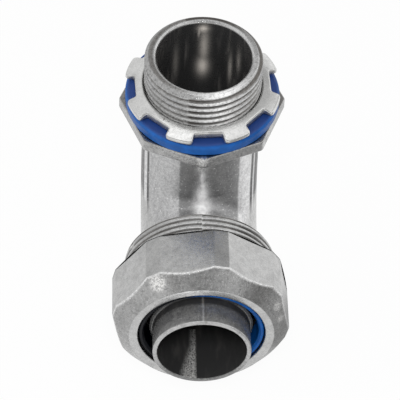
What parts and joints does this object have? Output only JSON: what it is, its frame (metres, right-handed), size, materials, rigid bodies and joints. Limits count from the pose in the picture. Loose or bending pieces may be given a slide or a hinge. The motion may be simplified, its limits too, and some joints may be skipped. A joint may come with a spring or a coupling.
{
  "type": "liquidtight conduit connector",
  "caption": "Right-angle liquidtight conduit connector: elbow body with threaded hub and flange, sealing ring, locknut, octagon gland nut, gland ring and ferrule.",
  "frame": {"origin": "centre of the hub bore in the plane of the flange face that the sealing ring lies on", "axes": "+Z along the hub, out of its mouth; -Y along the gland, out of its mouth; +X to the right as seen from the gland's mouth"},
  "size_m": [0.051, 0.0816, 0.0866],
  "materials": {
    "cast_metal": "die-cast zinc alloy, bare, with a matt skin on rough patches and a soft shine elsewhere",
    "bright_metal": "die-cast zinc alloy, tumbled bright and satin",
    "ferrule_metal": "plated metal, smooth, with a fine mould line",
    "blue_plastic": "moulded nylon, smooth and slightly glossy"
  },
  "bodies": {
    "fitting": {"elbow_body": "cast_metal", "ferrule": "ferrule_metal"},
    "seal": {"sealing_ring": "blue_plastic"},
    "lock": {"locknut": "bright_metal"},
    "grip": {"gland_ring": "blue_plastic"},
    "nut": {"gland_nut": "cast_metal"}
  },
  "joints": [
    {"name": "seal_slide", "type": "slide", "parent": "fitting", "child": "seal", "axis": [0, 0, 1], "range_m": [0, 0.0125]},
    {"name": "locknut_turn", "type": "hinge", "parent": "seal", "child": "lock", "pos_m": [0, 0, 0.005], "axis": [0, 0, 1], "range_deg": [0, 2037]},
    {"name": "grip_slide", "type": "slide", "parent": "fitting", "child": "grip", "axis": [0, -1, 0], "range_m": [0, 0.01]},
    {"name": "gland_nut_turn", "type": "hinge", "parent": "grip", "child": "nut", "pos_m": [0, -0.0427, -0.0437], "axis": [0, -1, 0], "range_deg": [0, 1984]}
  ],
  "couplings": [
    {"joint": "seal_slide", "follows": "locknut_turn", "m_per_rad": 0.00035153},
    {"joint": "grip_slide", "follows": "gland_nut_turn", "m_per_rad": 0.00028871}
  ]
}
